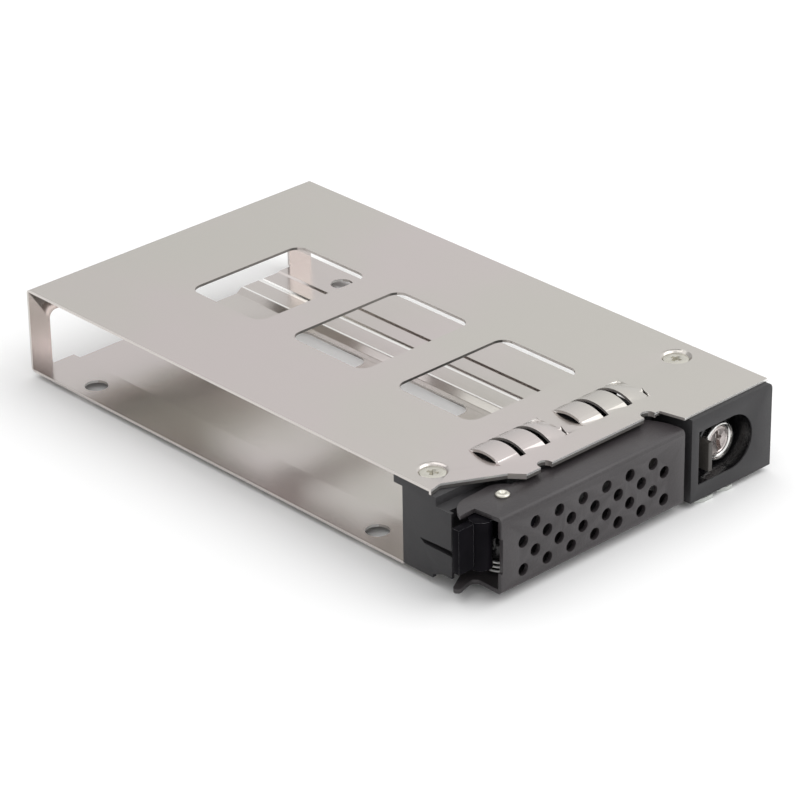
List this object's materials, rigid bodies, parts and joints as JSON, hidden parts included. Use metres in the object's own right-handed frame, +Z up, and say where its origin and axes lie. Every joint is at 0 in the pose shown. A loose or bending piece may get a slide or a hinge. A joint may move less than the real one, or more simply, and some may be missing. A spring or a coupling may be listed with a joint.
{
  "type": "mobile rack drive tray",
  "caption": "Removable tray of a mobile rack for a 2.5 inch drive: folded steel shell with windows, black front, perforated swing handle, release slide and key lock.",
  "frame": {"origin": "centre of the four drive holes, on the face the drive rests on", "axes": "+X to the right seen from the front, +Y to the back, +Z up"},
  "size_m": [0.0732, 0.1216, 0.0192],
  "materials": {
    "stainless_sheet": "satin stainless sheet with bright cut edges",
    "black_moulding": "fine-textured black plastic",
    "painted_sheet": "fine-textured dark grey paint",
    "glossy_black": "glossy black plastic",
    "slider_plastic": "dark plastic with a satin skin",
    "bright_pin": "plated pin head",
    "spring_wire": "bare spring wire",
    "nickel_screw": "nickel-plated screw",
    "lock_chrome": "polished plating",
    "lock_plug_metal": "satin plug with dark keyway",
    "lock_black": "black trim ring",
    "zinc_plate": "dull zinc",
    "brass_insert": "turned brass",
    "clear_pipe": "clear light-guide plastic"
  },
  "bodies": {
    "tray": {"tray_shell": "stainless_sheet", "front_block": "black_moulding", "pivot_pin": "bright_pin", "pivot_clip": "zinc_plate", "handle_spring": "spring_wire", "slider_spring": "spring_wire", "slider_cover": "slider_plastic", "lock_barrel": "lock_chrome", "lock_collar": "lock_black", "lock_nut": "zinc_plate", "light_pipe_left": "clear_pipe", "light_pipe_right": "clear_pipe", "top_screw_left": "nickel_screw", "top_screw_right": "nickel_screw", "bottom_screw_left": "nickel_screw", "bottom_screw_right": "nickel_screw", "insert_top_left": "brass_insert", "insert_top_right": "brass_insert", "insert_bottom_left": "brass_insert", "insert_bottom_right": "brass_insert"},
    "handle": {"handle_channel": "painted_sheet", "claw": "glossy_black"},
    "slide": {"release_slider": "slider_plastic"},
    "plug": {"lock_plug": "lock_plug_metal", "lock_cam": "zinc_plate", "cam_screw": "zinc_plate"}
  },
  "joints": [
    {"name": "handle_swing", "type": "hinge", "parent": "tray", "child": "handle", "pos_m": [-0.02562, -0.06348, 0.0076], "axis": [0, 0, -1], "range_deg": [0, 18], "stiffness_Nm_per_rad": 0.02, "springref_deg": 28.65},
    {"name": "release_slide", "type": "slide", "parent": "tray", "child": "slide", "axis": [1, 0, 0], "range_m": [-0.0018, 0], "stiffness_N_per_m": 400, "springref_m": 0.0005, "deforming": ["slider_spring"]},
    {"name": "lock_turn", "type": "hinge", "parent": "tray", "child": "plug", "pos_m": [0.0253, -0.0615, 0.0068], "axis": [0, 1, 0], "range_deg": [0, 90]}
  ]
}
